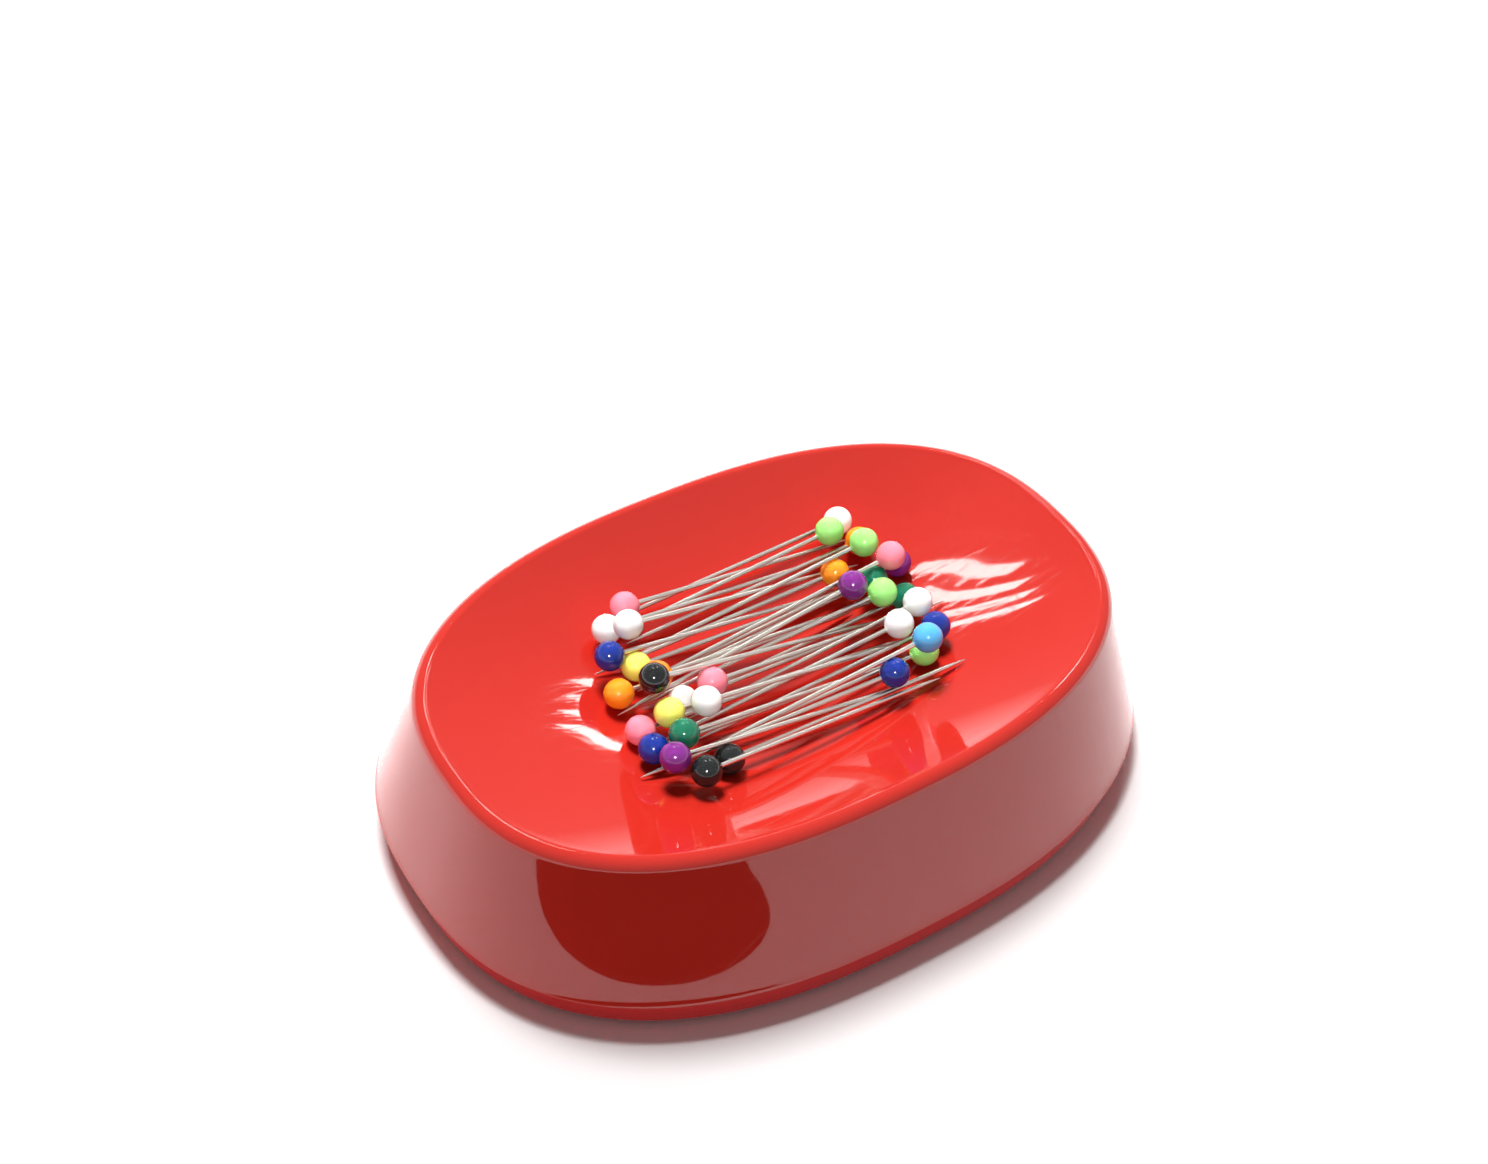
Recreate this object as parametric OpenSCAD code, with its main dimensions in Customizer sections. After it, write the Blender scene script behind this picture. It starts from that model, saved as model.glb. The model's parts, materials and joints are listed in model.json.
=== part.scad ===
// Magnetic pin bowl: an oval dish on a flared wall, closed by a base tray, with two block
// magnets under the middle of the dish and a heap of ball-headed pins lying across it.
// Units are millimetres. The origin is on the table, under the middle of the bowl, and the
// long axis of the bowl is X.

/* [Bowl] */
// Length over the lower edge of the wall
body_len = 106; // [95:1:130]
// Width over the lower edge of the wall
body_wid = 76; // [70:1:95]
// Height from the table to the top of the rim
body_h = 24; // [22:0.5:32]
// Length over the outside of the rim
rim_len = 96; // [80:1:105]
// Width over the outside of the rim
rim_wid = 62; // [58:1:75]
// Radius of the outside of the rim
rim_round = 1.7; // [1:0.1:2.4]
// Radius of the shoulder between the rim and the dish
shoulder_round = 0.9; // [0.5:0.1:1.5]
// Depth of the dish below its own edge
dish_depth = 8.5; // [6:0.25:9]
// Thickness of the dish and of the side wall
wall_t = 1.8; // [1.4:0.1:2.2]
// Fullness of the oval, where 2 is an ellipse and more is squarer
fullness = 2.45; // [2:0.05:3]

/* [Base tray] */
// Height of the parting line, where the shell sits on the tray
seam_z = 5; // [4.5:0.25:6]
// How far the tray is drawn in from the ends of the shell
tray_inset_len = 1; // [0.6:0.1:1.2]
// How far the tray is drawn in from the sides of the shell
tray_inset_wid = 0.6; // [0.4:0.1:1]
// Radius of the lower edge of the tray
tray_round = 1.6; // [1:0.1:2.4]
// Thickness of the floor of the tray
floor_t = 1.6; // [1.2:0.1:2]
// Height of the spigot lip that stands up inside the shell
lip_h = 3; // [2:0.25:4]
// Thickness of the spigot lip
lip_t = 1.3; // [1:0.1:1.8]
// Gap between the spigot lip and the shell
lip_gap = 0.15; // [0.1:0.05:0.3]

/* [Feet] */
// Diameter of a foot
foot_d = 9; // [6:0.5:11]
// How far a foot stands out under the tray
foot_stand = 0.6; // [0.4:0.1:1]
// How deep a foot sits in its pocket
foot_seat = 0.7; // [0.4:0.1:0.8]
// Gap round a foot in its pocket
foot_gap = 0.1; // [0.05:0.05:0.3]
// Distance between the feet along the bowl
foot_span_len = 66; // [50:1:70]
// Distance between the feet across the bowl
foot_span_wid = 44; // [34:1:46]

/* [Magnets] */
// Length of one magnet, along the bowl
magnet_len = 21; // [16:0.5:25]
// Width of one magnet
magnet_wid = 22; // [16:0.5:26]
// Thickness of one magnet
magnet_t = 6; // [5:0.25:7]
// Thickness of the rib that keeps the two magnets apart
divider_t = 2.4; // [1.6:0.2:4]
// Thickness of the ribs round the magnet pocket
pocket_t = 1.4; // [1:0.1:2]
// Gap between a magnet and the ribs of its pocket
magnet_gap = 0.2; // [0.1:0.05:0.4]
// Gap between the magnets and the lowest point under the dish
magnet_seat = 0.1; // [0.05:0.05:0.3]
// Thickness of the keeper plate
keeper_t = 1.5; // [1:0.1:2]
// How far the foam pad stays inside the outline of the keeper plate
pad_inset = 1.5; // [1:0.5:4]

/* [Pins] */
// Length of a pin over its head
pin_len = 38.5; // [34:0.5:48]
// Diameter of the ball head
head_d = 4; // [3.5:0.1:5]
// Diameter of the shank
shank_d = 0.62; // [0.5:0.02:0.8]
// Length of the ground point
point_len = 3; // [2:0.5:5]
// Diameter of the very end of the point
point_end = 0.08; // [0.04:0.02:0.12]
// How far the shank goes into the head, past its middle
head_hold = 1.1; // [0.6:0.1:1.4]
// Gap round the shank inside the head
head_fit = 0.02; // [0.01:0.01:0.04]
// Gap left between pins, and between a pin and the dish
rest_gap = 0.08; // [0.06:0.01:0.12]
// Least distance between the rows of shanks in the middle of the bowl
row_pitch = 0.76; // [0.74:0.01:0.8]

/* [Hidden] */
// Where each pin lies: colour, place of the head along and across the bowl, and how many
// degrees the shank leans from the long axis
DROPS = [
    ["white", 21, 15.5, -1],
    ["lime", 17.9, 13.2, -1],
    ["orange", 21.7, 11.2, -2],
    ["orange", 15.2, 7.8, -3],
    ["lime", 20, 7.6, -3],
    ["pink", 21.4, 3.2, -3.5],
    ["purple", 24.2, 5.1, -1],
    ["purple", 14, 2.2, 0],
    ["green", 18.9, 3.5, -2],
    ["lime", 17.6, -0.2, -4],
    ["green", 21.6, 0.4, -1.5],
    ["white", 21, -3, -2],
    ["white", 16.4, -5, -2],
    ["blue", 21.2, -7.2, -2.5],
    ["lime", 17.8, -9.1, -2.5],
    ["sky", 16.4, -11.4, -4],
    ["blue", 11, -12.3, -5],
    ["pink", -13.2, 15.6, -4],
    ["white", -17.2, 13.4, -2],
    ["white", -15.6, 10.2, -2],
    ["blue", -19.7, 8.9, -2],
    ["yellow", -16.4, 6.5, -1],
    ["orange", -20.8, 4.4, -1],
    ["orange", -15.8, 3.2, 0],
    ["black", -18, 0.8, -1],
    ["white", -13.9, 0, -2],
    ["pink", -10.1, -0.6, -2],
    ["yellow", -17.8, -3.3, -2.5],
    ["pink", -21.5, -2.1, -2],
    ["white", -13.4, -5.2, -2.5],
    ["blue", -22, -6, -1.5],
    ["green", -18.3, -7.8, -1],
    ["purple", -21.6, -10.6, -2.5],
    ["black", -14.5, -12.2, -1],
    ["black", -19, -14.1, 0.5],
];

// Corners in one turn of the oval, rings across the dish, and steps round an edge
turn = 72;
dish_rings = 9;
round_steps = 5;
// How far a cut runs on past the face it starts from
over = 1;
// How steeply the rim has turned over where it meets the wall
rim_turn = 72;
// How steeply the shoulder has turned over where it meets the dish
shoulder_turn = 28;

// Crest of the rim, and the edge of the dish
crest_half = [rim_len, rim_wid] / 2 - rim_round * sin(rim_turn) * [1, 1];
dish_half = crest_half - shoulder_round * sin(shoulder_turn) * [1, 1];
dish_top = body_h - shoulder_round * (1 - cos(shoulder_turn));
wall_top = body_h - rim_round * (1 - cos(rim_turn));
wall_top_half = [rim_len, rim_wid] / 2;
seam_half = [body_len, body_wid] / 2;

// Base tray, with the draft of its side along and across
tray_draft = [0.5, 0.3];
tray_half = seam_half - [tray_inset_len, tray_inset_wid];
tray_low_half = tray_half - tray_draft;
floor_z = foot_stand + floor_t;

// Stack of keeper plate and magnets, hung from the lowest point under the dish
magnet_top = dish_top - dish_depth - wall_t - magnet_seat;
magnet_z = magnet_top - magnet_t;
keeper_z = magnet_z - keeper_t;
magnet_x = divider_t / 2 + magnet_gap;
keeper_len = 2 * (magnet_x + magnet_len);
pocket_len = keeper_len + 2 * magnet_gap;
pocket_wid = magnet_wid + 2 * magnet_gap;
pocket_low = keeper_z + keeper_t / 2;
// Gap left between the divider and the keeper plate under it
divider_gap = 0.3;
// How far the divider runs into the ribs that it joins
divider_bite = 0.1;
// Part of the outline of the dish inside which the ribs lie
rib_room = 0.8;

// Pins
head_r = head_d / 2;
shank_r = shank_d / 2;
reach = pin_len - head_r;
pin_count = len(DROPS);

BOWL_NODES = [
    "dish_shell", "base_tray", "magnet_left", "magnet_right", "keeper_plate", "foam_pad",
    "foot_front_left", "foot_front_right", "foot_back_left", "foot_back_right",
];

// Name of a pin: its colour, and its number among the pins of that colour
function pin_name(i) =
    let (colour = DROPS[i][0], same = [for (k = [0:i]) if (DROPS[k][0] == colour) k])
    str("pin_", colour, "_", len(same));

// One corner of the oval with the given half length and half width
function oval_point(half, angle) = [
    half.x * sign(cos(angle)) * pow(abs(cos(angle)), 2 / fullness),
    half.y * sign(sin(angle)) * pow(abs(sin(angle)), 2 / fullness),
];

// How far out a point of the dish is, squared: 0 in the middle and 1 at the edge
function dish_out(x, y) =
    pow(pow(abs(x / dish_half.x), fullness) + pow(abs(y / dish_half.y), fullness), 2 / fullness);

// Height of the dish at a point
function dish_z(x, y) = dish_top - dish_depth * (1 - min(1, dish_out(x, y)));

// Half length and half width of the outside of the wall at a height
function wall_half(z) =
    seam_half + (wall_top_half - seam_half) * (z - seam_z) / (wall_top - seam_z);

// Rings are [half length, half width, height]. A ring of the dish, lowered by a drop
function dish_ring(part, drop) =
    [dish_half.x * part, dish_half.y * part, dish_top - dish_depth * (1 - part * part) - drop];

// A closed skin over ovals, from a first middle point by way of its rings to a last one
module oval_skin(first_z, rings, last_z) {
    count = len(rings);
    points = concat(
        [for (ring = rings) for (k = [0:turn - 1])
            concat(oval_point([ring.x, ring.y], k * 360 / turn), [ring.z])],
        [[0, 0, first_z], [0, 0, last_z]]
    );
    first = count * turn;
    faces = concat(
        [for (k = [0:turn - 1]) [first, (k + 1) % turn, k]],
        [for (r = [0:count - 2]) for (k = [0:turn - 1])
            [r * turn + k, r * turn + (k + 1) % turn, (r + 1) * turn + (k + 1) % turn]],
        [for (r = [0:count - 2]) for (k = [0:turn - 1])
            [r * turn + k, (r + 1) * turn + (k + 1) % turn, (r + 1) * turn + k]],
        [for (k = [0:turn - 1])
            [first + 1, (count - 1) * turn + k, (count - 1) * turn + (k + 1) % turn]]
    );
    polyhedron(points, faces);
}

// The dish, over the shoulder and the rim, and down the outside of the wall
function shell_outside() = concat(
    [for (k = [1:dish_rings]) dish_ring(k / dish_rings, 0)],
    [for (k = [round_steps - 1:-1:0]) let (a = shoulder_turn * k / round_steps)
        [crest_half.x - shoulder_round * sin(a), crest_half.y - shoulder_round * sin(a),
            body_h - shoulder_round * (1 - cos(a))]],
    [for (k = [1:round_steps]) let (a = rim_turn * k / round_steps)
        [crest_half.x + rim_round * sin(a), crest_half.y + rim_round * sin(a),
            body_h - rim_round * (1 - cos(a))]],
    [[seam_half.x, seam_half.y, seam_z]]
);

// Up the inside of the wall and back under the dish
function shell_inside() = concat(
    [for (z = [seam_z, wall_top - wall_t])
        [wall_half(z).x - wall_t, wall_half(z).y - wall_t, z]],
    [for (k = [dish_rings - 1:-1:1]) dish_ring(k / dish_rings, wall_t)]
);

// Ribs of the magnet pocket, cut off inside the thickness of the dish
module pocket_ribs() {
    intersection() {
        oval_skin(
            dish_top - dish_depth - wall_t / 2,
            concat(
                [for (k = [1:dish_rings - 1]) dish_ring(k / dish_rings, wall_t / 2)],
                [[dish_half.x * rib_room, dish_half.y * rib_room, pocket_low]]
            ),
            pocket_low
        );
        translate([0, 0, pocket_low]) {
            difference() {
                translate([-pocket_len / 2 - pocket_t, -pocket_wid / 2 - pocket_t, 0])
                    cube([pocket_len + 2 * pocket_t, pocket_wid + 2 * pocket_t, body_h]);
                translate([-pocket_len / 2, -pocket_wid / 2, -over])
                    cube([pocket_len, pocket_wid, body_h + 2 * over]);
            }
            translate([
                -divider_t / 2, -pocket_wid / 2 - divider_bite, magnet_z + divider_gap - pocket_low,
            ])
                cube([divider_t, pocket_wid + 2 * divider_bite, body_h]);
        }
    }
}

module dish_shell() {
    color("crimson") union() {
        oval_skin(
            dish_top - dish_depth,
            concat(shell_outside(), shell_inside()),
            dish_top - dish_depth - wall_t
        );
        pocket_ribs();
    }
}

// Lip rings lie inside the wall of the shell by its thickness and the gap
function lip_ring(z, inward) =
    [wall_half(z).x - wall_t - lip_gap - inward, wall_half(z).y - wall_t - lip_gap - inward, z];

module base_tray() {
    rings = concat(
        [lip_ring(floor_z, lip_t), lip_ring(seam_z, lip_t), lip_ring(seam_z + lip_h, lip_t)],
        [lip_ring(seam_z + lip_h, 0), lip_ring(seam_z, 0)],
        [[tray_half.x, tray_half.y, seam_z]],
        [for (k = [0:round_steps]) let (a = 90 * k / round_steps)
            [tray_low_half.x - tray_round * (1 - cos(a)),
                tray_low_half.y - tray_round * (1 - cos(a)),
                foot_stand + tray_round * (1 - sin(a))]]
    );
    color("firebrick") difference() {
        oval_skin(floor_z, rings, foot_stand);
        for (sx = [-1, 1])
            for (sy = [-1, 1])
                translate([sx * foot_span_len / 2, sy * foot_span_wid / 2, foot_stand - over])
                    cylinder(h = over + foot_seat, d = foot_d + 2 * foot_gap, $fn = 48);
    }
}

// A magnet lies on the keeper plate, on one side of the divider
module magnet(side) {
    color("dimgray")
        translate([side > 0 ? magnet_x : -magnet_x - magnet_len, -magnet_wid / 2, magnet_z])
            cube([magnet_len, magnet_wid, magnet_t]);
}

module keeper_plate() {
    color("silver")
        translate([-keeper_len / 2, -magnet_wid / 2, keeper_z])
            cube([keeper_len, magnet_wid, keeper_t]);
}

// The pad fills the height between the floor of the tray and the keeper plate
module foam_pad() {
    color("darkgray")
        translate([-keeper_len / 2 + pad_inset, -magnet_wid / 2 + pad_inset, floor_z])
            cube([keeper_len - 2 * pad_inset, magnet_wid - 2 * pad_inset, keeper_z - floor_z]);
}

// A foot is a low disc with a chamfered edge, seated in its pocket
module foot(side_x, side_y) {
    edge = foot_stand / 2;
    color("black")
        translate([side_x * foot_span_len / 2, side_y * foot_span_wid / 2, 0])
            rotate_extrude($fn = 48)
                polygon([
                    [0, 0], [foot_d / 2 - edge, 0], [foot_d / 2, edge],
                    [foot_d / 2, foot_stand + foot_seat], [0, foot_stand + foot_seat],
                ]);
}

// How the heap comes to rest.
// In plan each pin lies where DROPS puts it. Its two heights, of head centre and tip, are
// then found by letting every pin sink until it rests on the dish and on the pins under it.

// Least height between the axes of two round things that pass at a distance in plan
function pass_height(room, away) = sqrt(max(0, room * room - away * away));

// Part of the way from a to b that lies nearest to p in plan, from 0 to 1
function nearest_part(p, a, b) = min(1, max(0, ((p - a) * (b - a)) / ((b - a) * (b - a))));

function point_on(a, b, t) = a + (b - a) * t;

// Slope of the dish at a point, taken over a short step, which lifts what is round and lies
// on it
slope_step = 0.05;
function dish_slope(p) =
    let (d = slope_step)
    norm([dish_z(p.x + d, p.y) - dish_z(p.x - d, p.y), dish_z(p.x, p.y + d) - dish_z(p.x, p.y - d)])
    / (2 * d);

function on_dish(p, radius) =
    dish_z(p.x, p.y) + (radius + rest_gap) * sqrt(1 + pow(dish_slope(p), 2));

// The magnet draws the shanks side by side. In the middle of the bowl they keep the order
// in which they fell, moved apart as little as leaves each its own row.
FELL = [for (drop = DROPS) drop[2] - drop[1] * tan(drop[3])];

// Numbers of the pins, from front to back
function sorted(list) =
    len(list) == 0 ? [] :
    let (first = list[0], y = FELL[first])
    concat(
        sorted([for (k = list) if (FELL[k] < y) k]), [first],
        sorted([for (k = list) if (k != first && FELL[k] >= y) k])
    );
ORDER = sorted([for (i = [0:pin_count - 1]) i]);

// Rows pushed back from the front, and rows pushed forward from the back
function pushed_back(n, before) =
    n == pin_count ? [] :
    let (y = max(FELL[ORDER[n]], before + row_pitch)) concat([y], pushed_back(n + 1, y));
function pushed_front(n, behind) =
    n < 0 ? [] :
    let (y = min(FELL[ORDER[n]], behind - row_pitch)) concat(pushed_front(n - 1, y), [y]);
ROWS = (pushed_back(0, -body_wid) + pushed_front(pin_count - 1, body_wid)) / 2;

HEADS = [for (i = [0:pin_count - 1])
    [DROPS[i][1], ROWS[search(i, ORDER)[0]] + DROPS[i][1] * tan(DROPS[i][3])]];
TIPS = [for (i = [0:pin_count - 1])
    HEADS[i] - sign(HEADS[i].x) * reach * [cos(DROPS[i][3]), sin(DROPS[i][3])]];

// Where each pin can rest on another, as [part of the way along it, other pin, part of the
// way along that, height above its axis]: head on head, head on shank and shank on head.
// Tips of pins from the other side always lie under the heads.
ball_room = head_d + rest_gap;
neck_room = head_r + shank_r + rest_gap;
function same_side(i, j) = HEADS[i].x * HEADS[j].x > 0;
RESTS = [for (i = [0:pin_count - 1]) [for (j = [0:pin_count - 1]) if (j != i)
    let (
        t = nearest_part(HEADS[j], HEADS[i], TIPS[i]),
        u = nearest_part(HEADS[i], HEADS[j], TIPS[j]),
        balls = norm(HEADS[i] - HEADS[j]),
        on_shank = norm(HEADS[i] - point_on(HEADS[j], TIPS[j], u)),
        on_head = norm(HEADS[j] - point_on(HEADS[i], TIPS[i], t))
    )
    each concat(
        same_side(i, j) && balls < ball_room ? [[0, j, 0, pass_height(ball_room, balls)]] : [],
        u > 0 && on_shank < neck_room ? [[0, j, u, pass_height(neck_room, on_shank)]] : [],
        same_side(i, j) && t > 0 && on_head < neck_room
            ? [[t, j, 0, pass_height(neck_room, on_head)]] : []
    )]];

SEATS = [for (i = [0:pin_count - 1]) [on_dish(HEADS[i], head_r), on_dish(TIPS[i], shank_r)]];

// Height of one head, let down with its tip on the dish, on the other side's pins and on
// those of its own side that already lie
function let_down(i, heights, lying) = max(concat([SEATS[i][0]], [for (r = RESTS[i])
    if (lying[r[1]] || !same_side(i, r[1]))
        ((1 - r[2]) * heights[r[1]] + r[2] * SEATS[r[1]][1] + r[3] - r[0] * SEATS[i][1])
        / (1 - r[0])]));

// The pins fall one by one, each time the one that comes to lie lowest on those before it.
// The result holds for each pin how many lay before it.
function fall(heights, turns, lying, count) =
    count == pin_count ? turns :
    let (
        tries = [for (i = [0:pin_count - 1])
            lying[i] ? body_h : let_down(i, heights, lying) - SEATS[i][0]],
        next = search(min(tries), tries)[0],
        lands = [for (i = [0:pin_count - 1])
            i == next ? let_down(i, heights, lying) : heights[i]]
    )
    fall(
        lands, [for (i = [0:pin_count - 1]) i == next ? count : turns[i]],
        [for (i = [0:pin_count - 1]) lying[i] || i == next], count + 1
    );
TURNS = fall(
    [for (seat = SEATS) seat[0]], [for (seat = SEATS) 0], [for (seat = SEATS) false], 0
);

// The heads are raised together, this many times, by when none of them moves any more
sweeps = 12;
function rest(heights, left) =
    left == 0 ? heights :
    rest([for (i = [0:pin_count - 1])
        let_down(i, heights, [for (turn_j = TURNS) turn_j < TURNS[i]])], left - 1);

HEIGHTS = rest([for (seat = SEATS) seat[0]], sweeps);
PINS = [for (i = [0:pin_count - 1])
    [concat(HEADS[i], [HEIGHTS[i]]), concat(TIPS[i], [SEATS[i][1]])]];

// A shank with its ground point, from inside the head at the middle up along Z
module shank() {
    rotate_extrude($fn = 24)
        polygon([
            [0, -head_hold], [shank_r, -head_hold], [shank_r, reach - point_len],
            [point_end / 2, reach], [0, reach],
        ]);
}

// A ball head with the blind hole that the shank is moulded into
module head() {
    difference() {
        sphere(d = head_d, $fn = 48);
        translate([0, 0, -head_hold - head_fit])
            cylinder(h = head_d, d = shank_d + 2 * head_fit, $fn = 24);
    }
}

function shade(colour) =
    colour == "green" ? "seagreen" :
    colour == "blue" ? "mediumblue" :
    colour == "sky" ? "deepskyblue" :
    colour == "lime" ? "lightgreen" :
    colour == "purple" ? "darkorchid" : colour;

// The head lies at the first point of its place, and the shank points to the second
module pin(i) {
    place = PINS[i];
    way = place[1] - place[0];
    translate(place[0])
        rotate([0, atan2(norm([way.x, way.y]), way.z), atan2(way.y, way.x)]) {
            color(shade(DROPS[i][0])) head();
            color("silver") shank();
        }
}

dish_shell();
base_tray();
magnet(-1);  // magnet_left
magnet(1);  // magnet_right
keeper_plate();
foam_pad();
foot(-1, -1);  // foot_front_left
foot(1, -1);  // foot_front_right
foot(-1, 1);  // foot_back_left
foot(1, 1);  // foot_back_right
for (i = [0:pin_count - 1])
    pin(i);
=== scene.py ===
import json
import math
import bpy
from mathutils import Matrix, Vector

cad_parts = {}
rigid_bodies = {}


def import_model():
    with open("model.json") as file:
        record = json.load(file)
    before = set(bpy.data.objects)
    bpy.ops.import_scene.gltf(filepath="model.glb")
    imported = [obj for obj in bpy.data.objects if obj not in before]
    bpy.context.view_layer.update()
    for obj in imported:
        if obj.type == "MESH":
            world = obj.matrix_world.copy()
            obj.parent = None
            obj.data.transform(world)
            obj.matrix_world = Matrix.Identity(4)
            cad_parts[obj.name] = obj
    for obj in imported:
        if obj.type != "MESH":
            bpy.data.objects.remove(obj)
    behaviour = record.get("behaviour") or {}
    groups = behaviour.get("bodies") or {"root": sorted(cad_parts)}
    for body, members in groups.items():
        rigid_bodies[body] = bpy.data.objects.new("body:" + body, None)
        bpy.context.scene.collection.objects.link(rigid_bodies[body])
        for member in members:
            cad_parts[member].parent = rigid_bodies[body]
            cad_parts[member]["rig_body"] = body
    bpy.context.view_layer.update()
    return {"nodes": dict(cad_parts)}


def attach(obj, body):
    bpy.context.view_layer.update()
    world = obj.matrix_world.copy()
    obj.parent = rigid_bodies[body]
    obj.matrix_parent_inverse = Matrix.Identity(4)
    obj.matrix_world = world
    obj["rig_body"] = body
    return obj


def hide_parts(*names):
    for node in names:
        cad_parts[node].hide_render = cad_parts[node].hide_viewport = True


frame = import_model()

# The dish shell. One injection moulding in glossy red plastic: a shallow oval dish with a
# soft shoulder and a rounded rim, and a side wall that flares out to a crisp lower edge.
# Each ring of its skin is an oval, given as (half length, half width, height).
MM = 0.001
SHELL_LONG, SHELL_WIDE, SHELL_HIGH = 106 * MM, 76 * MM, 24 * MM
RIM_LONG, RIM_WIDE = 96 * MM, 62 * MM
SEAM_HIGH, WALL, FULLNESS = 5 * MM, 1.8 * MM, 2.45
RIM_ROUND, RIM_TURN = 1.7 * MM, math.radians(72)
SHOULDER_ROUND, SHOULDER_TURN = 0.9 * MM, math.radians(28)
DISH_DEEP = 8.5 * MM


def node(tree, kind, settings=None, **sockets):
    """A node of a tree: its settings first, then the values or links of its sockets.

    A socket goes by its name, with _ for a space, or by its number after an _.
    """
    made = tree.nodes.new(kind)
    for name, value in (settings or {}).items():
        setattr(made, name, value)
    for name, value in sockets.items():
        socket = made.inputs[int(name[1:]) if name[0] == "_" else name.replace("_", " ")]
        fill(tree, socket, value)
    return made


def fill(tree, socket, value):
    """Links a socket to a value that varies, or sets it to one that doesn't."""
    if isinstance(value, Amount):
        value = value.socket
    if isinstance(value, bpy.types.NodeSocket):
        tree.links.new(value, socket)
    else:
        socket.default_value = value


class Amount:
    """A number that changes over a surface or a mesh, worked out with plain arithmetic."""

    def __init__(self, tree, socket):
        self.tree, self.socket = tree, socket

    def _of(self, operation, *values, clamp=False):
        """One step of sums, on this amount and on others or plain numbers."""
        named = {f"_{k}": value for k, value in enumerate(values)}
        made = node(
            self.tree, "ShaderNodeMath", {"operation": operation, "use_clamp": clamp}, **named
        )
        return Amount(self.tree, made.outputs[0])

    def __add__(self, other):
        return self._of("ADD", self, other)

    def __sub__(self, other):
        return self._of("SUBTRACT", self, other)

    def __rsub__(self, other):
        return self._of("SUBTRACT", other, self)

    def __mul__(self, other):
        return self._of("MULTIPLY", self, other)

    def __truediv__(self, other):
        return self._of("DIVIDE", self, other)

    def __rtruediv__(self, other):
        return self._of("DIVIDE", other, self)

    def __pow__(self, other):
        return self._of("POWER", self, other)

    def __mod__(self, other):
        return self._of("FLOORED_MODULO", self, other)

    def __abs__(self):
        return self._of("ABSOLUTE", self)

    def __floor__(self):
        return self._of("FLOOR", self)

    def sign(self):
        return self._of("SIGN", self)

    def cos(self):
        return self._of("COSINE", self)

    def sin(self):
        return self._of("SINE", self)

    def clamped(self):
        return self._of("ADD", self, 0.0, clamp=True)

    __radd__ = __add__
    __rmul__ = __mul__


class Finish:
    """A material: plain values on its shader's sockets, and nodes for what varies."""

    def __init__(self, name, **plain):
        self.material = bpy.data.materials.new(name)
        self.material.use_nodes = True
        self.tree = self.material.node_tree
        self.shader = self.tree.nodes["Principled BSDF"]
        for socket, value in plain.items():
            self.shader.inputs[socket.replace("_", " ")].default_value = value
        self.place = self.add("ShaderNodeTexCoord").outputs["Object"]

    def add(self, kind, settings=None, **sockets):
        return node(self.tree, kind, settings, **sockets)

    def stretched(self, x, y, z):
        """Object coordinates scaled by so much along each axis."""
        return self.add(
            "ShaderNodeVectorMath", {"operation": "MULTIPLY"}, _0=self.place, _1=(x, y, z)
        ).outputs[0]

    def noise(self, scale, detail=2.0, where=None):
        """Soft patches, so many to the metre."""
        made = self.add(
            "ShaderNodeTexNoise", Vector=where or self.place, Scale=scale, Detail=detail
        )
        return Amount(self.tree, made.outputs["Fac"])

    def scratches(self, where, scale, width):
        """Fine hairlines: 1 on a line and 0 beside it."""
        cells = self.add(
            "ShaderNodeTexVoronoi", {"feature": "DISTANCE_TO_EDGE"}, Vector=where, Scale=scale
        )
        return (1 - Amount(self.tree, cells.outputs["Distance"]) / width).clamped()

    def mixed(self, amount, first, second):
        """One colour where the amount is 0 and the other where it is 1."""
        made = self.add(
            "ShaderNodeMix", {"data_type": "RGBA"}, _0=amount, _6=first, _7=second
        )
        return made.outputs[2]

    def bumps(self, height, distance, under=None):
        """Bumps as high as the distance where the height is 1, over those under them."""
        links = {"Normal": under} if under else {}
        made = self.add("ShaderNodeBump", Height=height, Distance=distance, Strength=1.0, **links)
        return made.outputs["Normal"]

    def finish(self, **varying):
        """Links what varies over the surface into the shader."""
        for socket, value in varying.items():
            fill(self.tree, self.shader.inputs[socket.replace("_", " ")], value)


def shaping(name, **inputs):
    """A tree of geometry nodes with a geometry and named inputs, and its first node."""
    tree = bpy.data.node_groups.new(name, "GeometryNodeTree")
    tree.interface.new_socket("Shape", in_out="OUTPUT", socket_type="NodeSocketGeometry")
    tree.interface.new_socket("Start", in_out="INPUT", socket_type="NodeSocketGeometry")
    for label, kind in inputs.items():
        tree.interface.new_socket(
            label.replace("_", " "), in_out="INPUT", socket_type="NodeSocket" + kind
        )
    return tree, tree.nodes.new("NodeGroupInput").outputs


CRISP_TURN, CLOSE_BY = 0.6, 0.002 * MM


def close_tree(tree, shape, material):
    """Smooth the shape but for its crisp edges, make its instances real, give it its
    material and hand it out."""
    fold = node(tree, "GeometryNodeInputMeshEdgeAngle").outputs["Unsigned Angle"]
    crisp = node(
        tree, "FunctionNodeCompare", {"operation": "GREATER_THAN"}, _0=fold, _1=CRISP_TURN
    )
    smooth = node(tree, "GeometryNodeSetShadeSmooth", Geometry=shape)
    edged = node(
        tree, "GeometryNodeSetShadeSmooth", {"domain": "EDGE"}, Geometry=smooth.outputs[0],
        Selection=crisp.outputs[0], Shade_Smooth=False,
    )
    real = node(tree, "GeometryNodeRealizeInstances", Geometry=edged.outputs[0])
    coated = node(
        tree, "GeometryNodeSetMaterial", Geometry=real.outputs[0], Material=material
    )
    node(tree, "NodeGroupOutput", Shape=coated.outputs[0])


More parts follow.
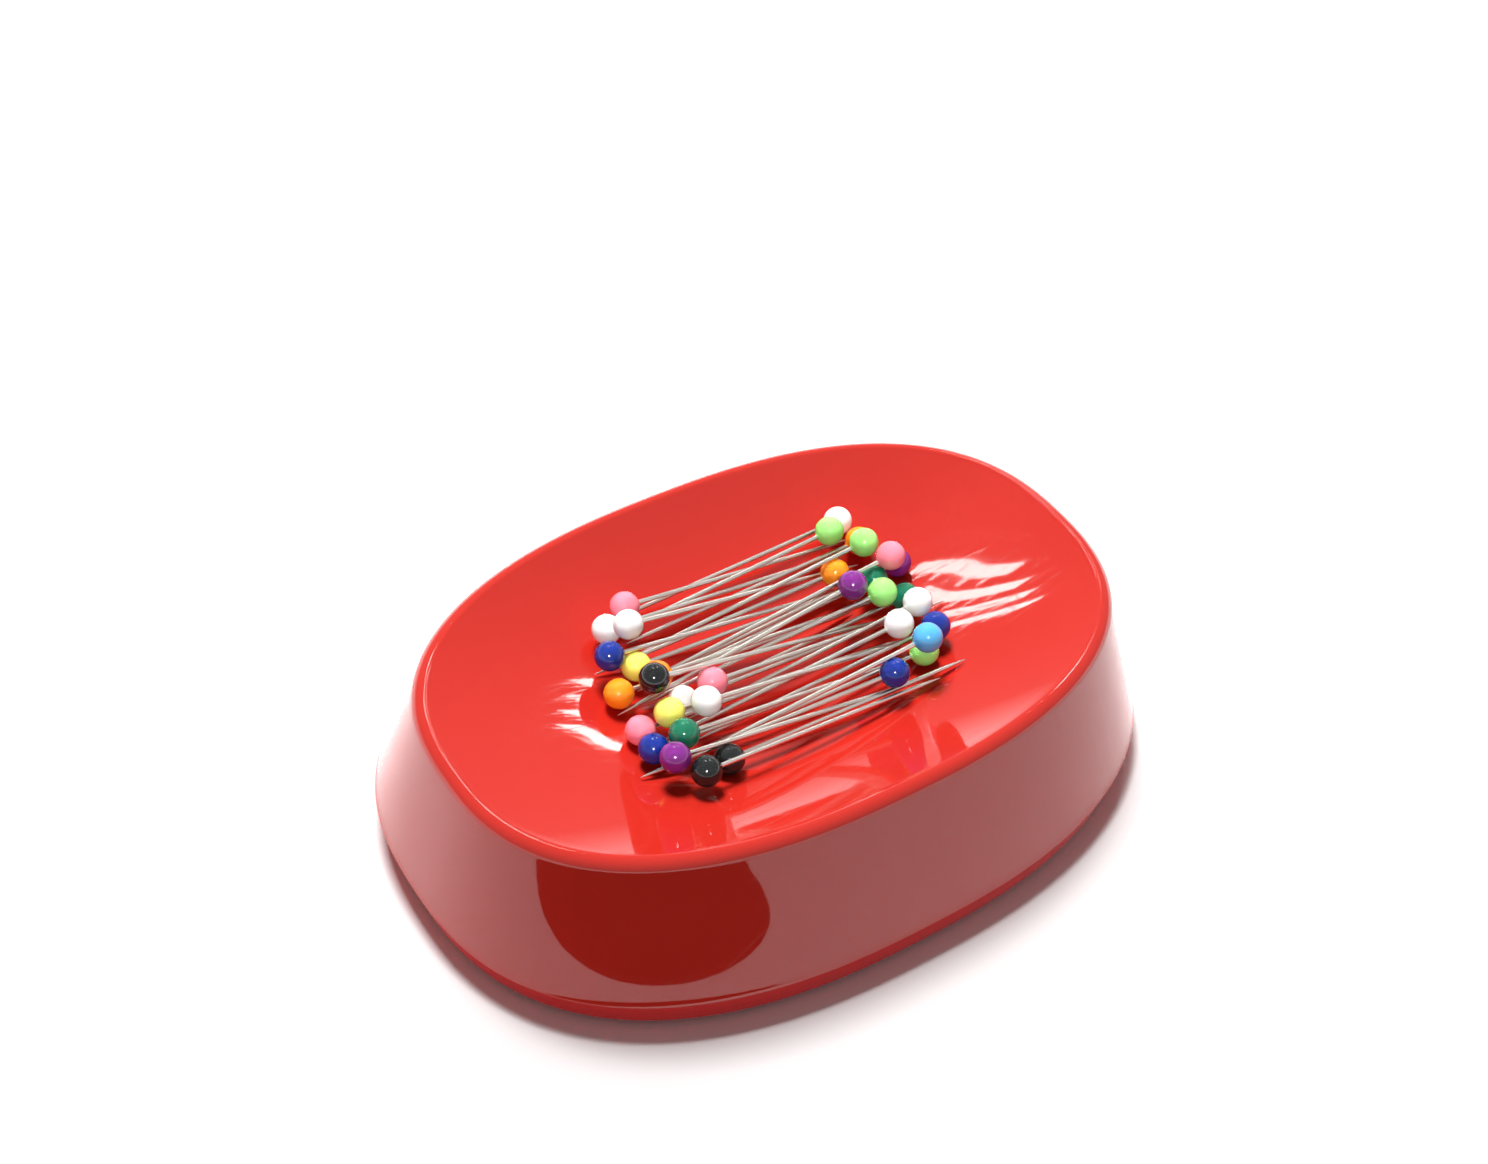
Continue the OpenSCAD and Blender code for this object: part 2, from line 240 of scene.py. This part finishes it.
def shaped(name, tree, start, **sizes):
    """A plain mesh object that a tree makes from a starting mesh and named sizes."""
    made = bpy.data.objects.new(name, start)
    bpy.context.scene.collection.objects.link(made)
    shaper = made.modifiers.new("shape", "NODES")
    shaper.node_group = tree
    for item in tree.interface.items_tree:
        label = item.name.replace(" ", "_")
        if item.in_out == "INPUT" and label in sizes:
            shaper[item.identifier] = sizes[label]
    evaluated = made.evaluated_get(bpy.context.evaluated_depsgraph_get())
    mesh = bpy.data.meshes.new_from_object(evaluated)
    made.modifiers.remove(shaper)
    made.data = mesh
    mesh.name = name
    return made


def beads(name, places):
    """A mesh of loose points."""
    mesh = bpy.data.meshes.new(name)
    mesh.from_pydata(places, [], [])
    return mesh


def oval_skin_tree():
    """A closed skin over ovals, one for each point of the start mesh, whose coordinates
    are the half length, the half width and the height of its oval."""
    tree, given = shaping("oval skin", Fullness="Float", Turns="Int", Material="Material")
    count = node(tree, "GeometryNodeAttributeDomainSize", Geometry=given["Start"])
    rows = Amount(tree, count.outputs["Point Count"])
    turns = Amount(tree, given["Turns"])
    sheet = node(
        tree, "GeometryNodeMeshGrid", Size_X=1.0, Size_Y=1.0, Vertices_X=turns + 1,
        Vertices_Y=rows,
    )
    index = Amount(tree, node(tree, "GeometryNodeInputIndex").outputs[0])
    ring = node(
        tree, "GeometryNodeSampleIndex", {"data_type": "FLOAT_VECTOR"},
        Geometry=given["Start"], Index=index % rows,
        Value=node(tree, "GeometryNodeInputPosition").outputs[0],
    )
    half = node(tree, "ShaderNodeSeparateXYZ", Vector=ring.outputs[0]).outputs
    angle = math.floor(index / rows) * (2 * math.pi) / turns
    bend = 2 / Amount(tree, given["Fullness"])
    along, across = (
        Amount(tree, size) * way.sign() * abs(way) ** bend
        for size, way in ((half[0], angle.cos()), (half[1], angle.sin()))
    )
    place = node(tree, "ShaderNodeCombineXYZ", X=along, Y=across, Z=half[2])
    bent = node(
        tree, "GeometryNodeSetPosition", Geometry=sheet.outputs["Mesh"],
        Position=place.outputs[0],
    )
    closed = node(
        tree, "GeometryNodeMergeByDistance", Geometry=bent.outputs[0], Distance=CLOSE_BY
    )
    outward = node(tree, "GeometryNodeFlipFaces", Mesh=closed.outputs[0])
    close_tree(tree, outward.outputs[0], given["Material"])
    return tree


crest = [size / 2 - RIM_ROUND * math.sin(RIM_TURN) for size in (RIM_LONG, RIM_WIDE)]
dish = [half - SHOULDER_ROUND * math.sin(SHOULDER_TURN) for half in crest]
dish_top = SHELL_HIGH - SHOULDER_ROUND * (1 - math.cos(SHOULDER_TURN))
wall_top = SHELL_HIGH - RIM_ROUND * (1 - math.cos(RIM_TURN))


def ring_at(half, out, height):
    """An oval that lies outside another one by so much."""
    return (half[0] + out, half[1] + out, height)


def dish_ring(part, drop=0.0):
    """An oval of the dish, from 0 in the middle to 1 at its edge, or one under it."""
    height = dish_top - DISH_DEEP * (1 - part * part) - drop
    return (dish[0] * part, dish[1] * part, height)


def wall_ring(height, inward=0.0):
    """An oval of the flared side wall at a height, or one inside it."""
    part = (height - SEAM_HIGH) / (wall_top - SEAM_HIGH)
    foot, top = (SHELL_LONG, SHELL_WIDE), (RIM_LONG, RIM_WIDE)
    half = [(low + (high - low) * part) / 2 for low, high in zip(foot, top)]
    return ring_at(half, -inward, height)


DISH_STEPS, SHOULDER_STEPS, RIM_STEPS, WALL_STEPS, EDGE_STEPS = 48, 8, 14, 16, 4
UNDER_STEPS, SHELL_TURNS, EDGE_ROUND = 24, 288, 0.25 * MM
rings = [dish_ring(k / DISH_STEPS) for k in range(DISH_STEPS + 1)]
for k in range(SHOULDER_STEPS - 1, -1, -1):
    a = SHOULDER_TURN * k / SHOULDER_STEPS
    drop = SHOULDER_ROUND * (1 - math.cos(a))
    rings.append(ring_at(crest, -SHOULDER_ROUND * math.sin(a), SHELL_HIGH - drop))
for k in range(1, RIM_STEPS + 1):
    a = RIM_TURN * k / RIM_STEPS
    drop = RIM_ROUND * (1 - math.cos(a))
    rings.append(ring_at(crest, RIM_ROUND * math.sin(a), SHELL_HIGH - drop))
for k in range(1, WALL_STEPS + 1):
    rings.append(wall_ring(wall_top + (SEAM_HIGH + EDGE_ROUND - wall_top) * k / WALL_STEPS))
for k in range(1, EDGE_STEPS + 1):
    a = math.pi / 2 * k / EDGE_STEPS
    low = wall_ring(SEAM_HIGH)
    rings.append(ring_at(
        low, -EDGE_ROUND * (1 - math.cos(a)), SEAM_HIGH + EDGE_ROUND * (1 - math.sin(a))
    ))
rings += [wall_ring(SEAM_HIGH, WALL), wall_ring(wall_top - WALL, WALL)]
rings += [dish_ring(k / UNDER_STEPS, WALL) for k in range(UNDER_STEPS - 1, -1, -1)]

shell_red = Finish("shell red", Base_Color=(0.80, 0.032, 0.018, 1), IOR=1.44)
peel = shell_red.noise(420, 2)
worn = shell_red.noise(45, 4)
hairlines = shell_red.scratches(shell_red.stretched(60, 700, 60), 1.0, 0.012)
skin = shell_red.bumps(peel, 0.002 * MM)
skin = shell_red.bumps(hairlines, -0.001 * MM, under=skin)
shell_red.finish(
    Base_Color=shell_red.mixed(worn, (0.77, 0.028, 0.017, 1), (0.84, 0.036, 0.022, 1)),
    Roughness=0.02 + 0.03 * worn + 0.06 * hairlines, Normal=skin,
)
oval_skin = oval_skin_tree()
shell = shaped(
    "dish_moulding", oval_skin, beads("shell rings", rings),
    Fullness=FULLNESS, Turns=SHELL_TURNS, Material=shell_red.material,
)
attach(shell, "bowl")
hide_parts("dish_shell")

# The magnets and their keeper plate. Two pressed and sintered ferrite blocks, ground on
# their faces, held down by a rolled steel plate. Their plain blocks keep their own mesh.
ferrite = Finish("sintered ferrite", Metallic=0.25, Base_Color=(0.035, 0.036, 0.04, 1))
grit = ferrite.noise(2600, 4)
ground = ferrite.noise(1.0, 3, ferrite.stretched(150, 5000, 5000))
ferrite.finish(
    Base_Color=ferrite.mixed(grit, (0.022, 0.022, 0.026, 1), (0.06, 0.06, 0.066, 1)),
    Roughness=0.45 + 0.25 * ground, Normal=ferrite.bumps(grit + ground, 0.012 * MM),
)
rolled = Finish("rolled steel", Metallic=1.0, Base_Color=(0.56, 0.56, 0.54, 1))
grain = rolled.noise(1.0, 4, rolled.stretched(90, 4000, 4000))
spangle = rolled.noise(240, 2)
rolled.finish(
    Base_Color=rolled.mixed(spangle, (0.5, 0.5, 0.49, 1), (0.62, 0.62, 0.6, 1)),
    Roughness=0.26 + 0.2 * grain, Normal=rolled.bumps(grain, 0.006 * MM),
)
for name in ("magnet_left", "magnet_right"):
    frame["nodes"][name].material_slots[0].material = ferrite.material
frame["nodes"]["keeper_plate"].material_slots[0].material = rolled.material

# The foam pad. A block of open-celled grey foam, cut with a knife, which presses the
# magnets up against the dish when the tray is closed.
foam = Finish("open foam", Roughness=0.95, Base_Color=(0.10, 0.10, 0.11, 1))
cells = foam.add("ShaderNodeTexVoronoi", Vector=foam.place, Scale=1900)
pores_and_painted_shade = Amount(foam.tree, cells.outputs["Distance"])
# The colour is darker down in each pore: painted shade in the hollows of the cells, over the
# pores' own bumps.
foam.finish(
    Base_Color=foam.mixed(pores_and_painted_shade, (0.03, 0.03, 0.035, 1), (0.18, 0.18, 0.19, 1)),
    Normal=foam.bumps(pores_and_painted_shade, 0.2 * MM),
)
frame["nodes"]["foam_pad"].material_slots[0].material = foam.material

# The base tray. A second moulding, in the same red plastic, that closes the underside. Its
# lip stands up inside the shell, the side is drawn in a little under the crisp edge, and
# four round pockets in the underside take the feet.
TRAY_INSET, TRAY_DRAFT, TRAY_ROUND = (0.8 * MM, 0.5 * MM), (0.3 * MM, 0.2 * MM), 1.1 * MM
FLOOR_LOW, FLOOR_TOP = 0.6 * MM, 2.2 * MM
LIP_HIGH, LIP_THICK, LIP_GAP = 3 * MM, 1.3 * MM, 0.15 * MM
POCKET_SPAN, POCKET_WIDE, POCKET_DEEP = (66 * MM, 44 * MM), 9.2 * MM, 0.7 * MM
LIP_EDGE, FLOOR_STEPS, CURVE_STEPS, TRAY_TURNS, POCKET_TURNS = 0.3 * MM, 6, 16, 240, 96

inner, outer = WALL + LIP_GAP + LIP_THICK, WALL + LIP_GAP
tray_half = [size / 2 - inset for size, inset in zip((SHELL_LONG, SHELL_WIDE), TRAY_INSET)]
low_half = [half - draft for half, draft in zip(tray_half, TRAY_DRAFT)]
floor_ring = wall_ring(FLOOR_TOP, inner)
rings = [
    (floor_ring[0] * k / FLOOR_STEPS, floor_ring[1] * k / FLOOR_STEPS, FLOOR_TOP)
    for k in range(FLOOR_STEPS + 1)
]
rings += [wall_ring(SEAM_HIGH, inner), wall_ring(SEAM_HIGH + LIP_HIGH - LIP_EDGE, inner)]
rings += [wall_ring(SEAM_HIGH + LIP_HIGH, inner - LIP_EDGE)]
rings += [wall_ring(SEAM_HIGH + LIP_HIGH, outer + LIP_EDGE)]
rings += [wall_ring(SEAM_HIGH + LIP_HIGH - LIP_EDGE, outer), wall_ring(SEAM_HIGH, outer)]
rings += [(tray_half[0] - LIP_EDGE, tray_half[1] - LIP_EDGE, SEAM_HIGH)]
rings += [(tray_half[0], tray_half[1], SEAM_HIGH - LIP_EDGE / 2)]
for k in range(CURVE_STEPS + 1):
    a = math.pi / 2 * k / CURVE_STEPS
    rings.append(ring_at(
        low_half, -TRAY_ROUND * (1 - math.cos(a)), FLOOR_LOW + TRAY_ROUND * (1 - math.sin(a))
    ))
low_ring = rings[-1]
rings += [
    (low_ring[0] * k / FLOOR_STEPS, low_ring[1] * k / FLOOR_STEPS, FLOOR_LOW)
    for k in range(FLOOR_STEPS - 1, -1, -1)
]


def pockets_tree():
    """Round pockets sunk into the underside of the start mesh, at the corners of a grid."""
    tree, given = shaping(
        "foot pockets", Long_Span="Float", Wide_Span="Float", Diameter="Float",
        Bottom="Float", Material="Material",
    )
    corners = node(
        tree, "GeometryNodeMeshGrid", Size_X=given["Long Span"], Size_Y=given["Wide Span"],
        Vertices_X=2, Vertices_Y=2,
    )
    drill = node(
        tree, "GeometryNodeMeshCylinder", Vertices=POCKET_TURNS,
        Radius=Amount(tree, given["Diameter"]) / 2, Depth=Amount(tree, given["Bottom"]) * 2,
    )
    drills = node(
        tree, "GeometryNodeInstanceOnPoints", Points=corners.outputs["Mesh"],
        Instance=drill.outputs["Mesh"],
    )
    made = node(tree, "GeometryNodeRealizeInstances", Geometry=drills.outputs[0])
    cut = node(
        tree, "GeometryNodeMeshBoolean", {"operation": "DIFFERENCE"},
        Mesh_1=given["Start"], Mesh_2=made.outputs[0],
    )
    close_tree(tree, cut.outputs["Mesh"], given["Material"])
    return tree


tray_red = Finish("tray red", Base_Color=(0.88, 0.016, 0.017, 1), IOR=1.4)
peel = tray_red.noise(420, 2)
worn = tray_red.noise(60, 4)
tray_red.finish(
    Base_Color=tray_red.mixed(worn, (0.84, 0.013, 0.015, 1), (0.92, 0.019, 0.019, 1)),
    Roughness=0.08 + 0.10 * worn, Normal=tray_red.bumps(peel, 0.005 * MM),
)
closed_tray = shaped(
    "tray_blank", oval_skin, beads("tray rings", rings),
    Fullness=FULLNESS, Turns=TRAY_TURNS, Material=tray_red.material,
)
tray = shaped(
    "tray_moulding", pockets_tree(), closed_tray.data, Long_Span=POCKET_SPAN[0],
    Wide_Span=POCKET_SPAN[1], Diameter=POCKET_WIDE, Bottom=FLOOR_LOW + POCKET_DEEP,
    Material=tray_red.material,
)
bpy.data.objects.remove(closed_tray)
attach(tray, "bowl")
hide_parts("base_tray")

# The feet. Four stamped discs of black rubber, glued in the pockets, with grip rings on
# the face that stands on the table.
GRIP_STEP, GRIP_HIGH = 0.6 * MM, 0.05 * MM
rubber = Finish("foot rubber", Specular_IOR_Level=0.35, Base_Color=(0.02, 0.02, 0.021, 1))
split = rubber.add("ShaderNodeSeparateXYZ", Vector=rubber.place).outputs
long_off = abs(Amount(rubber.tree, split[0])) - POCKET_SPAN[0] / 2
wide_off = abs(Amount(rubber.tree, split[1])) - POCKET_SPAN[1] / 2
from_middle = (long_off * long_off + wide_off * wide_off) ** 0.5
grip = abs((from_middle % GRIP_STEP) / (GRIP_STEP / 2) - 1)
dust = rubber.noise(900, 4)
rubber.finish(
    Base_Color=rubber.mixed(dust, (0.014, 0.014, 0.015, 1), (0.035, 0.034, 0.033, 1)),
    Roughness=0.65 + 0.2 * dust, Normal=rubber.bumps(grip + dust * 0.3, GRIP_HIGH),
)
for name in frame["nodes"]:
    if name.startswith("foot_"):
        frame["nodes"][name].material_slots[0].material = rubber.material

# The pins. Hard steel wire, nickel-plated and ground to a point, with a ball of glossy
# plastic moulded over its blunt end. Each pin lies where its node lies, and its two parts
# keep the place on the pin where each point was made, for the seam and the grinding lines.
HEAD_WIDE, SHANK_WIDE, PIN_LONG = 4 * MM, 0.62 * MM, 38.5 * MM
POINT_LONG, POINT_END, POINT_FULL = 3 * MM, 0.08 * MM, 0.85
COLLAR_WIDE, COLLAR_HIGH, COLLAR_TOP, HOLD = 1.0 * MM, 0.10 * MM, 1.1, 0.6
BALL_STEPS, BALL_TURNS, POINT_STEPS, WIRE_STEPS, WIRE_TURNS = 41, 56, 8, 8, 20
SEAM_WIDE, SEAM_RAISED, CLOUD_RAISED = 0.05 * MM, 0.015 * MM, 0.001 * MM
CLOUD_DARK, CLOUD_LIGHT, CLOUD_LIFT, PALEST = 0.9, 1.06, 0.004, 0.9
HEAD_COLOURS = {
    "white": (0.80, 0.80, 0.78), "lime": (0.30, 0.74, 0.17), "orange": (0.90, 0.25, 0.006),
    "pink": (0.92, 0.21, 0.28), "purple": (0.17, 0.012, 0.19), "green": (0.004, 0.14, 0.07),
    "blue": (0.003, 0.02, 0.22), "sky": (0.07, 0.36, 0.68), "yellow": (0.84, 0.80, 0.13),
    "black": (0.006, 0.008, 0.008),
}


def pin_part_tree():
    """A round part turned about the pin's own axis, then laid where the pin lies."""
    tree, given = shaping(
        "pin part", Turns="Int", Head_Centre="Vector", Along="Vector", Material="Material"
    )
    turned = node(
        tree, "GeometryNodeGroup", {"node_tree": oval_skin}, Start=given["Start"],
        Fullness=2.0, Turns=given["Turns"], Material=given["Material"],
    )
    kept = node(
        tree, "GeometryNodeStoreNamedAttribute", {"data_type": "FLOAT_VECTOR"},
        Geometry=turned.outputs[0], Name="made_at",
        Value=node(tree, "GeometryNodeInputPosition").outputs[0],
    )
    lean = node(
        tree, "FunctionNodeAlignRotationToVector", {"axis": "Z"}, Vector=given["Along"]
    )
    laid = node(
        tree, "GeometryNodeTransform", Geometry=kept.outputs[0],
        Translation=given["Head Centre"], Rotation=lean.outputs[0],
    )
    close_tree(tree, laid.outputs[0], given["Material"])
    return tree


head, shank, reach = HEAD_WIDE / 2, SHANK_WIDE / 2, PIN_LONG - HEAD_WIDE / 2
collar = shank * COLLAR_TOP
head_rings = [(0, 0, head + COLLAR_HIGH), (collar, collar, head + COLLAR_HIGH)]
neck_turn = math.asin(COLLAR_WIDE / 2 / head)
for k in range(BALL_STEPS):
    a = neck_turn + (math.pi - neck_turn) * k / BALL_STEPS
    head_rings.append((head * math.sin(a), head * math.sin(a), head * math.cos(a)))
head_rings.append((0, 0, -head))
shank_rings = [(0, 0, reach), (POINT_END / 2, POINT_END / 2, reach)]
for k in range(1, POINT_STEPS + 1):
    wide = POINT_END / 2 + (shank - POINT_END / 2) * (k / POINT_STEPS) ** POINT_FULL
    shank_rings.append((wide, wide, reach - POINT_LONG * k / POINT_STEPS))
for k in range(WIRE_STEPS - 1, -1, -1):
    shank_rings.append((shank, shank, head + (reach - POINT_LONG - head) * k / WIRE_STEPS))
shank_rings += [(shank, shank, head * HOLD), (0, 0, head * HOLD)]


def made_at(finish):
    """Where on the pin a point was made: across, through and along, in metres."""
    return finish.add("ShaderNodeAttribute", {"attribute_name": "made_at"}).outputs["Vector"]


wire = Finish("plated wire", Metallic=1.0, Base_Color=(0.83, 0.80, 0.73, 1))
own = wire.add(
    "ShaderNodeVectorMath", {"operation": "MULTIPLY"}, _0=made_at(wire), _1=(2500, 2500, 60)
)
streaks = wire.noise(1.0, 3, own.outputs[0])
tarnish = wire.noise(25, 2)
wire.finish(
    Base_Color=wire.mixed(tarnish, (0.80, 0.76, 0.69, 1), (0.86, 0.83, 0.76, 1)),
    Roughness=0.3 + 0.04 * streaks,
)

plastics = {}
for colour, rgb in HEAD_COLOURS.items():
    ball = Finish(
        "ball " + colour, IOR=1.5, Base_Color=(*rgb, 1), Subsurface_Weight=0.12,
        Subsurface_Scale=0.8 * MM,
    )
    split = ball.add("ShaderNodeSeparateXYZ", Vector=made_at(ball)).outputs
    seam = (1 - abs(Amount(ball.tree, split[0])) / SEAM_WIDE).clamped()
    cloud = ball.noise(500, 3)
    darker = [value * CLOUD_DARK for value in rgb] + [1]
    lighter = [min(PALEST, value * CLOUD_LIGHT + CLOUD_LIFT) for value in rgb] + [1]
    grained = ball.bumps(cloud, CLOUD_RAISED)
    ball.finish(
        Base_Color=ball.mixed(cloud, darker, lighter),
        Roughness=0.02 + 0.02 * cloud + 0.12 * seam,
        Normal=ball.bumps(seam, SEAM_RAISED, under=grained),
    )
    plastics[colour] = ball.material

pin_part, balls = pin_part_tree(), bpy.data.collections.new("balls")
for name, pin in sorted(frame["nodes"].items()):
    if not name.startswith("pin_"):
        continue
    colour = name.split("_")[1]
    spots = [spot.co for spot in pin.data.vertices]
    middle = sum(spots, Vector()) / len(spots)
    tip = max(spots, key=lambda spot: (spot - middle).length)
    crown = max(spots, key=lambda spot: (spot - tip).length)
    along = (tip - crown).normalized()
    for label, rings, turns, material, slot in (
        ("ball", head_rings, BALL_TURNS, plastics[colour], "head_" + colour),
        ("wire", shank_rings, WIRE_TURNS, wire.material, "steel"),
    ):
        part = shaped(
            f"{name}_{label}", pin_part, beads(f"{name} {label}", rings), Turns=turns,
            Head_Centre=crown + along * head, Along=along, Material=material,
        )
        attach(part, pin["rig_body"])
        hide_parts(name)
        if label == "ball":
            balls.objects.link(part)

# The table. A sheet of white paper, which looks white to the camera and in the gloss of
# the bowl, and keeps the shadow under it.
SHEET_HALF, PAPER, PAPER_SEEN, PAPER_IN_GLOSS = 1.6, 0.62, 1.05, 2.0
sheet = bpy.data.meshes.new("paper")
sheet.from_pydata(
    [(-SHEET_HALF, -SHEET_HALF, 0), (SHEET_HALF, -SHEET_HALF, 0),
     (SHEET_HALF, SHEET_HALF, 0), (-SHEET_HALF, SHEET_HALF, 0)], [], [(0, 1, 2, 3)],
)
table = bpy.data.objects.new("paper", sheet)
bpy.context.scene.collection.objects.link(table)
paper = Finish("paper")
seen = paper.add("ShaderNodeLightPath").outputs
by_camera = Amount(paper.tree, seen["Is Camera Ray"])
by_gloss = Amount(paper.tree, seen["Is Glossy Ray"])
white = PAPER + (PAPER_SEEN - PAPER) * by_camera + (PAPER_IN_GLOSS - PAPER) * by_gloss
matt = paper.add("ShaderNodeBsdfDiffuse", Color=white)
fill(paper.tree, paper.tree.nodes["Material Output"].inputs["Surface"], matt.outputs[0])
sheet.materials.append(paper.material)

# A black card in front of the bowl. It stands for the dark camera and its stand, and only
# the gloss of the front wall shows it.
CARD_NEAR, CARD_LONG, CARD_WIDE, CARD_HIGH = 67 * MM, 500 * MM, 152 * MM, 2 * MM
CARD_TURNED, CARD_ASIDE, CARD_CORNERS = math.radians(28), -28 * MM, 64
CARD_END_BEND, CARD_SIDE_BEND = 0.4, 0.6
toward = Vector((-math.sin(CARD_TURNED), -math.cos(CARD_TURNED), 0))
aside = Vector((math.cos(CARD_TURNED), -math.sin(CARD_TURNED), 0))
centre = toward * (CARD_NEAR + CARD_LONG / 2) + aside * CARD_ASIDE + Vector((0, 0, CARD_HIGH))
corners = []
for k in range(CARD_CORNERS):
    a = 2 * math.pi * k / CARD_CORNERS
    out = math.copysign(abs(math.cos(a)) ** CARD_END_BEND, math.cos(a)) * CARD_LONG / 2
    side = math.copysign(abs(math.sin(a)) ** CARD_SIDE_BEND, math.sin(a)) * CARD_WIDE / 2
    corners.append(centre + toward * out + aside * side)
cut = bpy.data.meshes.new("black card")
cut.from_pydata(corners, [], [tuple(range(CARD_CORNERS))])
black_card = bpy.data.objects.new("black_card", cut)
bpy.context.scene.collection.objects.link(black_card)
felt = Finish(
    "black felt", Base_Color=(0.03, 0.03, 0.03, 1), Roughness=1.0, Specular_IOR_Level=0.0
)
cut.materials.append(felt.material)
black_card.visible_camera = black_card.visible_diffuse = black_card.visible_shadow = False

# The light. A pale room, one large soft box up behind the bowl, a small one in front for
# the balls of the pins alone, and two ceiling lamps of four tubes each, whose tubes lie as
# white streaks in the gloss of the dish.
ROOM_LIGHT, ROOM_SEEN, WALLS_SEEN, WALLS_HIGH = 0.14, 0.6, 2.6, 0.22
world = bpy.data.worlds.new("room")
bpy.context.scene.world = world
world.use_nodes = True
room = world.node_tree
seen = node(room, "ShaderNodeLightPath").outputs
by_camera = Amount(room, seen["Is Camera Ray"])
by_gloss = Amount(room, seen["Is Glossy Ray"])
direction = node(room, "ShaderNodeTexCoord").outputs["Generated"]
height = Amount(room, node(room, "ShaderNodeSeparateXYZ", Vector=direction).outputs[2])
walls = (1 - abs(height) / WALLS_HIGH).clamped()
in_gloss = ROOM_SEEN - ROOM_LIGHT + WALLS_SEEN * walls
backdrop = room.nodes["Background"].inputs
fill(room, backdrop["Strength"], ROOM_LIGHT + (1 - ROOM_LIGHT) * by_camera + in_gloss * by_gloss)
fill(room, backdrop["Color"], (1, 1, 1, 1))

BOX_TURNED, BOX_RAISED, BOX_FAR = math.radians(80), math.radians(68), 1.5
BOX_SIZE, BOX_POWER, GLINT_SIZE, GLINT_POWER = 0.4, 21, 0.25, 13
GLINT_TURNED, GLINT_RAISED = math.radians(-125), math.radians(48)


def soft_box(name, turned, raised, size, power):
    """A square lamp that faces the bowl from a direction."""
    way = Vector((
        math.cos(turned) * math.cos(raised), math.sin(turned) * math.cos(raised),
        math.sin(raised),
    ))
    lamp = bpy.data.lights.new(name, "AREA")
    lamp.size, lamp.energy = size, power
    made = bpy.data.objects.new(name, lamp)
    bpy.context.scene.collection.objects.link(made)
    made.matrix_world = (
        Matrix.Translation(way * BOX_FAR) @ way.to_track_quat("Z", "Y").to_matrix().to_4x4()
    )
    return made


soft_box("soft_box", BOX_TURNED, BOX_RAISED, BOX_SIZE, BOX_POWER).visible_glossy = False
glint = soft_box("glint_on_balls", GLINT_TURNED, GLINT_RAISED, GLINT_SIZE, GLINT_POWER)
glint.light_linking.receiver_collection = balls

LAMP_HIGH, TUBE_GLOW, TUBES = 0.6, 24.0, 4
LOUVRES, LOUVRE_LONG, LOUVRE_WIDE = (0.2, 0.4, 0.6, 0.8), 0.03, 2.2
glass = Finish("lit tube")
glow = glass.add("ShaderNodeEmission", Color=(1, 0.98, 0.95, 1), Strength=TUBE_GLOW)
fill(glass.tree, glass.tree.nodes["Material Output"].inputs["Surface"], glow.outputs[0])


def ceiling_lamp(name, corner, tube, step, wide):
    """Tubes side by side under a ceiling, with bright louvres across each: where the
    first starts, where a tube runs to from there, and where the next one starts."""
    corner, tube, step = (Vector((*pair, 0)) * MM for pair in (corner, tube, step))
    across = Vector((tube.y, -tube.x, 0)).normalized() * wide * MM / 2
    blade = tube * LOUVRE_LONG
    points, faces = [], []
    for k in range(TUBES):
        start = corner + step * k + Vector((0, 0, LAMP_HIGH))
        strips = [(start, start + tube, across, -across)]
        strips += [
            (start + tube * part, start + tube * part + blade, across * LOUVRE_WIDE, -across)
            for part in LOUVRES
        ]
        for near, far, one, other in strips:
            first = len(points)
            points += [near + one, near + other, far + other, far + one]
            faces.append((first, first + 1, first + 2, first + 3))
    mesh = bpy.data.meshes.new(name)
    mesh.from_pydata(points, [], faces)
    mesh.materials.append(glass.material)
    made = bpy.data.objects.new(name, mesh)
    bpy.context.scene.collection.objects.link(made)
    made.visible_camera = False


ceiling_lamp("lamp_right", (126, 304), (-38, 92), (20, 58), 20)
ceiling_lamp("lamp_left", (454, 300), (0, 95), (53, 84), 28)

# The camera, above the front left corner, framed as in the photograph.
LENS, FAR_OFF, RAISED, TURNED, ROLLED = 51.91, 0.284127, 44.548, 35.83, 4.323
SLID_RIGHT, SLID_UP, AIM = 3.398 * MM, -12.791 * MM, Vector((0, 0, 15 * MM))
camera = bpy.data.objects.new("camera", bpy.data.cameras.new("camera"))
bpy.context.scene.collection.objects.link(camera)
bpy.context.scene.camera = camera
camera.data.sensor_width, camera.data.lens, camera.data.clip_start = 36, LENS, 0.01
raised, turned, rolled = (math.radians(angle) for angle in (RAISED, TURNED, ROLLED))
back = Vector((
    -math.sin(turned) * math.cos(raised), -math.cos(turned) * math.cos(raised), math.sin(raised)
))
right = Vector((math.cos(turned), -math.sin(turned), 0))
up = back.cross(right)
right, up = (
    right * math.cos(rolled) + up * math.sin(rolled),
    up * math.cos(rolled) - right * math.sin(rolled),
)
stand = AIM + back * FAR_OFF - right * SLID_RIGHT - up * SLID_UP
camera.matrix_world = (
    Matrix.Translation(stand) @ Matrix((right, up, back)).transposed().to_4x4()
)
bpy.context.scene.view_settings.view_transform = "Standard"
